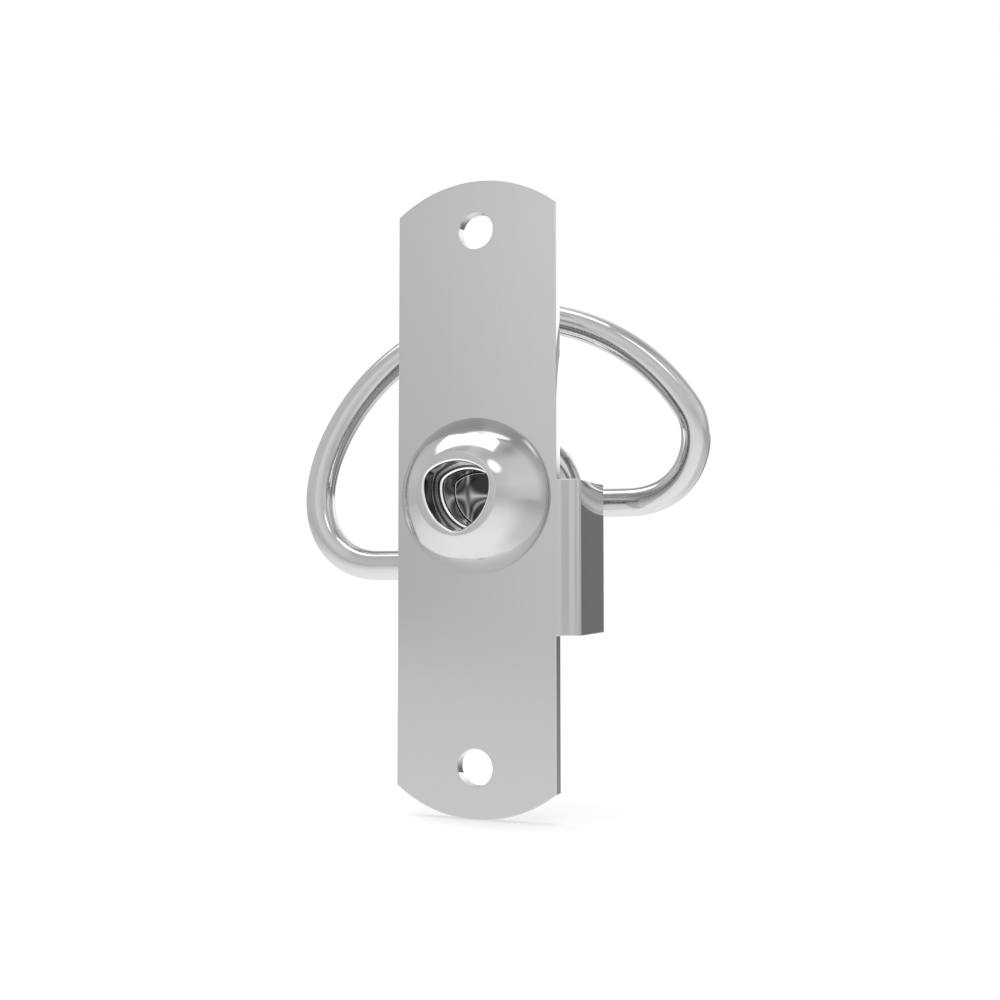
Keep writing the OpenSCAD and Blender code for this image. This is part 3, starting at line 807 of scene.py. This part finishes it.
# %% [markdown]
# ### Drawn wire
# Wire is pulled through a die, which leaves hair lines along its length. They follow every bend, so they
# are laid out in lengths along the wire and round it, not in space. The bright finish over them is still
# sharp enough to mirror the plate.

# %% Drawn wire
def drawn_wire():
    """Noise in the wire's own lengths: 12 mm long by 0.2 mm wide lines, and soft patches 5 mm across."""
    material, tree, shader = start("drawn_wire_bright")
    laid = add(tree, "ShaderNodeUVMap", uv_map="lengths")
    lines = add(tree, "ShaderNodeMapping", {"Vector": laid, "Scale": (1 / 12, 1 / 0.2, 1)})
    drawn = add(tree, "ShaderNodeTexNoise", {"Vector": lines, "Scale": 1.0, "Detail": 3.0})
    place = add(tree, "ShaderNodeTexCoord").outputs["Object"]
    cloud = add(tree, "ShaderNodeTexNoise", {"Vector": place, "Scale": 1 / (5 * MM), "Detail": 3.0})
    both = add(tree, "ShaderNodeMath", {0: drawn, 1: cloud}, operation="MULTIPLY")
    rough = add(tree, "ShaderNodeMapRange", {"Value": both, "From Min": 0.1, "From Max": 0.4, "To Min": 0.04,
            "To Max": 0.08})
    tone = add(tree, "ShaderNodeMix", {"Factor": drawn, "A": linear("#C4C4C4"), "B": linear("#C8C8C8")},
            data_type="RGBA")
    bump = add(tree, "ShaderNodeBump", {"Height": drawn, "Strength": 0.01, "Distance": 0.01 * MM})
    finish(tree, shader, tone.outputs[2], rough, bump)
    return material


# %% [markdown]
# ### Oiled spring steel, for the pin and the retaining ring
# Hardened spring steel is dark grey from its heat treatment. Oil keeps it, and where the film is thick the
# surface is smoother and darker, so colour and roughness change together.

# %% Oiled spring steel
def oiled_spring_steel():
    """One cloud, 1.5 mm across, moves the colour from bare to oiled and the roughness from 0.42 to 0.2."""
    material, tree, shader = start("oiled_spring_steel")
    place = add(tree, "ShaderNodeTexCoord").outputs["Object"]
    film = add(tree, "ShaderNodeTexNoise", {"Vector": place, "Scale": 1 / (1.5 * MM), "Detail": 5.0})
    scale = add(tree, "ShaderNodeTexNoise", {"Vector": place, "Scale": 1 / (0.08 * MM), "Detail": 2.0})
    tone = add(tree, "ShaderNodeMix", {"Factor": film, "A": linear("#86868A"), "B": linear("#505054")},
            data_type="RGBA")
    rough = add(tree, "ShaderNodeMapRange", {"Value": film, "From Min": 0.3, "From Max": 0.7, "To Min": 0.42,
            "To Max": 0.2})
    bump = add(tree, "ShaderNodeBump", {"Height": scale, "Strength": 0.2, "Distance": 0.005 * MM})
    finish(tree, shader, tone.outputs[2], rough, bump)
    return material


# %% [markdown]
# ### Sintered steel, for the bush
# A sintered bush is pressed from powder. The grains show as a fine speckle of bright tops between dark
# pores that hold the oil, with no direction at all, so it looks matt beside the turned parts.

# %% Sintered steel
def sintered_steel():
    """Voronoi cells of 0.12 mm are the grains. The distance to a cell's centre makes both the pore's dark
    tone and its dip."""
    material, tree, shader = start("sintered_steel")
    place = add(tree, "ShaderNodeTexCoord").outputs["Object"]
    grains = add(tree, "ShaderNodeTexVoronoi", {"Vector": place, "Scale": 1 / (0.12 * MM)})
    pores = add(tree, "ShaderNodeMapRange", {"Value": grains, "From Min": 0.2, "From Max": 0.8})
    tone = add(tree, "ShaderNodeMix", {"Factor": pores, "A": linear("#D8D8D8"), "B": linear("#B4B4B2")},
            data_type="RGBA")
    rough = add(tree, "ShaderNodeMapRange", {"Value": grains, "To Min": 0.34, "To Max": 0.6})
    bump = add(tree, "ShaderNodeBump", {"Height": pores, "Strength": 0.3, "Distance": 0.02 * MM}, invert=True)
    finish(tree, shader, tone.outputs[2], rough, bump)
    return material


# %% [markdown]
# ### Black rubber, for the sealing ring
# Moulded rubber is nearly black, with a soft broad sheen and a bloom of paler dust where it was handled. It
# is the only part that isn't metal, so its colour comes from inside and not from the room.

# %% Black rubber
def black_rubber():
    """A 2 mm cloud lays the bloom over the black, and a 0.05 mm grain breaks the sheen."""
    material, tree, shader = start("black_rubber")
    place = add(tree, "ShaderNodeTexCoord").outputs["Object"]
    bloom = add(tree, "ShaderNodeTexNoise", {"Vector": place, "Scale": 1 / (2 * MM), "Detail": 4.0})
    grain = add(tree, "ShaderNodeTexNoise", {"Vector": place, "Scale": 1 / (0.05 * MM), "Detail": 2.0})
    tone = add(tree, "ShaderNodeMix", {"Factor": bloom, "A": linear("#141414"), "B": linear("#2A2A2A")},
            data_type="RGBA")
    rough = add(tree, "ShaderNodeMapRange", {"Value": bloom, "To Min": 0.5, "To Max": 0.7})
    bump = add(tree, "ShaderNodeBump", {"Height": grain, "Strength": 0.3, "Distance": 0.01 * MM})
    finish(tree, shader, tone.outputs[2], rough, bump, metallic=0)
    return material


# %% [markdown]
# ## Each piece gets its finish
# The pieces made here take the place of the plain solids and ride with the body they belong to: the plate
# stays, and everything on the spindle turns. The small parts under the head and behind the plate keep
# their exact solids.

# %% Give each piece its finish
turned = turned_metal("turned_steel", "#D2D2D2", 0.10, 0.002, 0.08, 0.16)
polished_head = turned_metal("polished_head_chrome", "#C6C6C6", 0.05, 0.0006, 0.08, 0.12)
polished_collar = turned_metal("polished_collar_chrome", "#DADADA", 0.08, 0.001, 0.06, 0.10, 0.05)
oiled = oiled_spring_steel()

for made, material, node, slot, body in (
        (face_plate, rolled_steel(), "mounting_plate", "satin_steel", "plate"),
        (domed_cap, polished_head, "domed_head", "polished_head", "cam"),
        (turned_spindle, turned, "spindle", "turned_steel", "cam"),
        (bent_wire, drawn_wire(), "wire_cam", "polished_wire", "cam")):
    made.data.materials.append(material)
    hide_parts(node)
    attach(made, body)

for node, material in (
        ("spindle_bush", sintered_steel()), ("sealing_ring", black_rubber()), ("spacer_sleeve", turned),
        ("rear_collar", polished_collar), ("collar_pin", oiled), ("end_washer", turned),
        ("retaining_ring", oiled)):
    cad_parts[node].material_slots[0].material = material
print("finishes:", ", ".join(sorted(material.name for material in bpy.data.materials)))

# %% [markdown]
# ## A plain studio
# The floor and the world are white, so the latch stands on an empty page with only its own soft shadow. A
# floor that is lit by soft lamps alone turns grey away from them, so this one glows a little, more with the
# distance, and only on the rays that are seen.

# %% Floor and world
FLOOR_Z = cad_box[0][2]
FLOOR_SIZE = 4.0
DIFFUSE_LEVEL = 0.62
GLOW_NEAR, GLOW_FAR = 0.26, 0.5
GLOW_FROM, GLOW_TO = 0.15, 1.2


def glowing(tree, shader, strength, colour):
    """Makes a shader glow white with a strength, over a matt colour that mirrors nothing."""
    fill(tree, shader, {"Emission Strength": strength, "Emission Color": (1, 1, 1, 1), "Base Color": colour,
                        "Specular IOR Level": 0})


def stage_piece(name, points, faces, material):
    """Links a mesh in metres as a part of the studio."""
    mesh = bpy.data.meshes.new(name)
    mesh.from_pydata(points, [], faces)
    mesh.materials.append(material)
    made = linked(name, mesh)
    return made


def seen(tree):
    """1 for a ray from the camera, a mirror or a glass, and 0 for the rays that light the latch."""
    ray = add(tree, "ShaderNodeLightPath").outputs
    two = add(tree, "ShaderNodeMath", {0: ray["Is Camera Ray"], 1: ray["Is Glossy Ray"]}, operation="ADD")
    return add(tree, "ShaderNodeMath", {0: two, 1: ray["Is Transmission Ray"]}, operation="ADD",
            use_clamp=True).outputs[0]


def floor_paint():
    """White paint whose glow rises smoothly from GLOW_NEAR to GLOW_FAR with the distance from the latch."""
    material, tree, shader = start("white_floor")
    place = add(tree, "ShaderNodeTexCoord").outputs["Object"]
    away = add(tree, "ShaderNodeVectorMath", {0: place}, operation="LENGTH")
    need = add(tree, "ShaderNodeMapRange", {"Value": away.outputs["Value"], "From Min": GLOW_FROM,
            "From Max": GLOW_TO, "To Min": GLOW_NEAR, "To Max": GLOW_FAR}, interpolation_type="SMOOTHSTEP")
    glow = add(tree, "ShaderNodeMath", {0: seen(tree), 1: need}, operation="MULTIPLY")
    glowing(tree, shader, glow, linear("#F6F6F6"))
    shader.inputs["Roughness"].default_value = 0.9
    return material


corners = [(-FLOOR_SIZE, -FLOOR_SIZE, FLOOR_Z), (FLOOR_SIZE, -FLOOR_SIZE, FLOOR_Z),
           (FLOOR_SIZE, FLOOR_SIZE, FLOOR_Z), (-FLOOR_SIZE, FLOOR_SIZE, FLOOR_Z)]
floor = stage_piece("floor", corners, [(0, 1, 2, 3)], floor_paint())
floor.visible_glossy = False

world = bpy.data.worlds.new("white_room")
bpy.context.scene.world = world
world.use_nodes = True
sky = world.node_tree
level = add(sky, "ShaderNodeMath", {0: seen(sky), 1: 1 - DIFFUSE_LEVEL, 2: DIFFUSE_LEVEL},
            operation="MULTIPLY_ADD")
fill(sky, sky.nodes["Background"], {"Strength": level, "Color": (1, 1, 1, 1)})
print("floor at", round(1000 * FLOOR_Z), "mm, world", DIFFUSE_LEVEL, "for the light and 1 for the eye")

# %% [markdown]
# ## The room that the metal mirrors
# Polished metal in an all-white room has no shape: its look is the greys that it reflects. A photographer
# would stand softboxes and grey cards round it. Cards so near would shift in the mirror from one part of
# the latch to the next, so here the room is a globe, far away for the latch's size. Its tone is a function
# of a direction's bearing and height, stored with its points. The tones start from how bright the plate, the
# dome and the wire are in the photograph, divided by the share of light that the metal mirrors, and
# were then set one by one. Only the metal sees the globe: it is hidden from the camera, lights nothing and
# casts no shadow.

# %% Tones by direction
# Pairs of an angle in degrees and a tone, where 1 is white. Bearing 0 is in front of the latch, 90 is on
# its right and 180 behind it. A height of 0 is the horizon, and the floor's tables go down from it.
WALL = [(-172, 0.95), (-160, 0.7), (-152, 0.45), (-140, 0.4), (-125, 0.59), (-110, 0.72), (-95, 0.75),
        (-60, 0.73), (-28, 0.73), (-25, 0.75), (-19, 0.86), (-8, 0.92), (12, 0.86), (30, 0.76), (40, 0.73),
        (55, 0.77), (70, 0.87), (100, 0.87), (112, 0.6), (122, 0.55), (140, 0.8), (165, 0.95)]
WALL_RISE = [(0, 1), (17, 1.15), (35, 1.08), (60, 1)]
FLOOR_ROUND_ABOUT = [(0, 0.8), (6, 0.84), (12, 0.9), (20, 1.08), (30, 1.2), (45, 1.27), (60, 1.33)]
FLOOR_IN_FRONT = [(0, 0.82), (5, 0.87), (8, 0.94), (11, 0.98), (14, 1), (20, 1.08), (30, 1.2), (60, 1.33)]
BEHIND = [(-60, 1.33), (-30, 1.1), (-20, 0.8), (-12, 0.42), (-4, 0.24), (4.2, 0.24), (5.2, 1.6), (20, 1.5),
          (40, 0.8)]
BEHIND_SHARE = [(145, 0), (151, 1), (172, 1), (178, 0)]
IN_FRONT, IN_FRONT_WIDTH = -22, 32
DARK_AT, DARK_SIZE, DARK_DEPTH = (88, 60), (26, 9), 0.42
RIGHT_FLOOR_DARK = 0.26
print(len(WALL), "tones round the wall and", len(BEHIND), "for the band behind")


def between(value, pairs, **wrap):
    """The tone at an angle, on straight lines between the pairs."""
    return np.interp(value, *zip(*pairs), **wrap)


def ramp(value, start, end):
    """0 before start and 1 after end, with a straight rise (value - start) / (end - start) between them."""
    return np.clip((value - start) / (end - start), 0, 1)


# %% The softboxes in the room
# The long one hangs overhead, and is a rectangle on a ceiling 1 unit up. Its left end fades over a longer
# way, its right end leans, and its rear edge is bent at BEND_X, as the highlight on the dome is. The tall
# one stands at the right in front and shows as one round highlight.
SOFTBOX_TONE = 2.6
BOX_AT, BOX_HALF, BOX_TURN = (-0.50, 0.09), (0.75, 0.256), math.radians(-8)
BOX_FADE, BOX_EDGE = 0.4, 0.03
BOX_RIGHT, BOX_RIGHT_LEAN = 0.1, 0.4
BOX_REAR, BEND_X, SLOPE_LEFT, SLOPE_RIGHT = 0.08, 0.06, 0.45, 0.36
BOX_LOWEST = 20
TALL_AT, TALL_HALF, TALL_LEAN = (47, 43), (7.5, 9.5), 0.5


def soft_lights(bearing, height):
    """The two softboxes' tone in a direction.

    A direction with bearing b and height h meets the ceiling at (across, back) = (sin b, -cos b) / tan h.
    The overhead box is a product of ramps there. The tall box is exp(-r^3 / 2), with r the distance from its
    middle as a share of its half sizes.
    """
    b, rise = np.radians(bearing), np.tan(np.radians(np.clip(height, BOX_LOWEST, 89.9)))
    across, back = np.sin(b) / rise - BOX_AT[0], -np.cos(b) / rise - BOX_AT[1]
    x = across * math.cos(BOX_TURN) + back * math.sin(BOX_TURN)
    y = back * math.cos(BOX_TURN) - across * math.sin(BOX_TURN)
    right = BOX_HALF[0] + BOX_RIGHT - BOX_RIGHT_LEAN * y
    rear = BOX_HALF[1] + BOX_REAR + SLOPE_LEFT * np.minimum(x, 0) - SLOPE_RIGHT * np.maximum(x - BEND_X, 0)
    overhead = ramp(x, -BOX_HALF[0], BOX_FADE - BOX_HALF[0]) * ramp(x, right, right - BOX_EDGE) \
        * ramp(y, -BOX_HALF[1], BOX_EDGE - BOX_HALF[1]) * ramp(y, rear, rear - BOX_EDGE)
    aside, above = bearing - TALL_AT[0], height - TALL_AT[1]
    far = np.hypot((aside + TALL_LEAN * above) / TALL_HALF[0], above / TALL_HALF[1])
    return SOFTBOX_TONE * np.maximum(np.where(height > BOX_LOWEST, overhead, 0), np.exp(-0.5 * far**3))


# %% The room
ROOM_R = 1.2


def room_tone(bearing, height):
    """The room's tone in a direction.

    Above the horizon it is the wall's tone at that bearing times a slow rise with the height, less a dark
    patch high on the right. Below it is the floor, and the two pass into each other over 5 degrees, as
    t^2 (3 - 2 t). Straight behind, a dark band has a bright one above it. The softboxes lie over all these.
    """
    wall = between(bearing, WALL, period=360) * between(height, WALL_RISE)
    patch_far = ((bearing - DARK_AT[0]) / DARK_SIZE[0]) ** 2 + ((height - DARK_AT[1]) / DARK_SIZE[1]) ** 2
    wall *= 1 - DARK_DEPTH * np.exp(-patch_far)
    right = ramp(bearing, 62, 88) * ramp(bearing, 150, 130) * ramp(height, -80, -50)
    in_front = np.exp(-((bearing - IN_FRONT) / IN_FRONT_WIDTH) ** 4)
    ground = between(-height, FLOOR_ROUND_ABOUT) * (1 - RIGHT_FLOOR_DARK * right)
    ground = ground * (1 - in_front) + between(-height, FLOOR_IN_FRONT) * in_front
    t = ramp(height, -6, -1)
    tone = ground + (wall - ground) * t * t * (3 - 2 * t)
    behind = between(bearing % 360, BEHIND_SHARE)
    tone = tone * (1 - behind) + between(height, BEHIND) * behind
    return np.maximum(tone, soft_lights(bearing, height))


def room():
    """A globe round the latch with radius ROOM_R, and points 1.5 degrees of bearing and 0.75 of height
    apart: point = ROOM_R (cos h sin b, -cos h cos b, sin h)."""
    bearing, height = np.meshgrid(np.arange(-180, 180, 1.5), np.linspace(-89.5, 89.5, 240), indexing="ij")
    b, h = np.radians(bearing), np.radians(height)
    points = ROOM_R * np.stack([np.cos(h) * np.sin(b), -np.cos(h) * np.cos(b), np.sin(h)], -1)
    n, m = bearing.shape
    faces = grid_faces(n, m, wrap=True, closed=False)
    material, tree, shader = start("room_card")
    tone = add(tree, "ShaderNodeAttribute", attribute_name="tone")
    glowing(tree, shader, tone.outputs["Fac"], (0, 0, 0, 1))
    material.cycles.emission_sampling = "NONE"
    made = stage_piece("room_card", points.reshape(-1, 3).tolist(), faces.tolist(), material)
    tones = room_tone(bearing, height)
    store(made.data, "tone", tones)
    made.visible_camera = made.visible_diffuse = made.visible_shadow = False
    print(f"room: {n} bearings by {m} heights, tones from {tones.min():.2f} to {tones.max():.2f}")
    return made


room()

# %% [markdown]
# ## Lights
# Two area lights stand where the softboxes are. They light what isn't a mirror, which is the floor with its
# shadow and the rubber ring, and the metal sees the globe's softboxes instead of them.

# %% Lights
OVERHEAD_AT, OVERHEAD_SIZE = (-0.368, 0.075, 0.8), (1.264, 0.41)
TALL_LIGHT_AT, TALL_LIGHT_SIZE = (0.366, -0.341, 0.5), (0.085, 0.36)
TALL_RADIANCE = 3.2


def area_light(name, at, aim, size, radiance, shape="RECTANGLE"):
    """A soft light. Its power in watts is radiance x pi x area, and an ellipse has pi / 4 of the area of
    its rectangle."""
    data = bpy.data.lights.new(name, "AREA")
    data.shape = shape
    data.size, data.size_y = size
    data.energy = radiance * math.pi * size[0] * size[1] * (math.pi / 4 if shape == "ELLIPSE" else 1)
    made = linked(name, data)
    made.location = at
    made.rotation_euler = (Vector(aim) - Vector(at)).to_track_quat("-Z", "Y").to_euler()
    made.visible_camera = made.visible_glossy = False
    print(f"{name}: {data.energy:.2f} W")
    return made


straight_down = (OVERHEAD_AT[0], OVERHEAD_AT[1], 0)
overhead = area_light("overhead_softbox", OVERHEAD_AT, straight_down, OVERHEAD_SIZE, SOFTBOX_TONE)
overhead.rotation_euler = (0, 0, BOX_TURN)
area_light("tall_softbox", TALL_LIGHT_AT, (0, 0, 0), TALL_LIGHT_SIZE, TALL_RADIANCE, "ELLIPSE")
